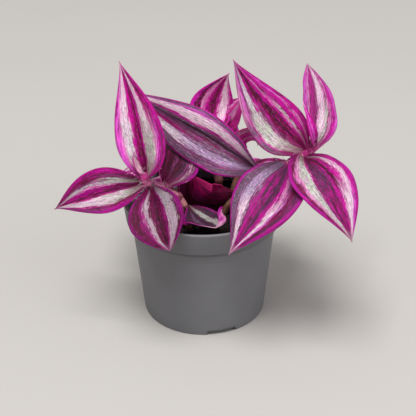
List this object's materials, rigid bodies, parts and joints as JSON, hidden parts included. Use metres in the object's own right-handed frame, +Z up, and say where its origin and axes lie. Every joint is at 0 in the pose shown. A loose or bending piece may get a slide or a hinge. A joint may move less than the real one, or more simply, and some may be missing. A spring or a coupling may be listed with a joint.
{
  "type": "potted_plant",
  "caption": "Small tradescantia with purple, magenta and silver striped leaves in a grey plastic nursery pot filled with black soil.",
  "frame": {"origin": "the middle of the pot's foot, on the surface that the pot stands on", "axes": "+Z up out of the pot, front of the plant towards -Y, the long crossing leaf runs roughly along X"},
  "size_m": [0.1073, 0.0846, 0.103],
  "materials": {
    "pot_plastic": "matte",
    "potting_soil": "rough",
    "stem": "satin",
    "striped_leaf": "satin",
    "shaded_leaf": "satin",
    "young_leaf": "satin"
  },
  "bodies": {
    "root": {"pot": "pot_plastic", "soil": "potting_soil", "stem_left": "stem", "stem_right": "stem", "stem_centre": "stem", "stem_back_left": "stem", "stem_back_right": "stem", "leaf_left_front": "striped_leaf", "leaf_left_side": "striped_leaf", "leaf_left_upright": "striped_leaf", "leaf_left_young": "young_leaf", "leaf_left_shaded": "shaded_leaf", "leaf_across": "striped_leaf", "leaf_front_middle": "striped_leaf", "leaf_front_right": "striped_leaf", "leaf_right_upright": "striped_leaf", "leaf_right_small": "striped_leaf", "leaf_right_young": "young_leaf", "leaf_centre_top": "striped_leaf", "leaf_centre_back": "striped_leaf", "leaf_centre_low": "striped_leaf", "leaf_low_arched": "shaded_leaf", "leaf_low_rolled": "shaded_leaf", "leaf_low_bit": "striped_leaf", "leaf_back_1": "striped_leaf", "leaf_back_2": "striped_leaf", "leaf_back_3": "striped_leaf", "leaf_back_4": "striped_leaf", "leaf_back_5": "striped_leaf", "leaf_back_6": "striped_leaf", "leaf_back_7": "striped_leaf", "leaf_back_8": "striped_leaf", "leaf_back_9": "striped_leaf", "leaf_back_10": "striped_leaf", "leaf_back_11": "striped_leaf", "leaf_back_12": "striped_leaf", "leaf_back_13": "striped_leaf"}
  },
  "joints": []
}
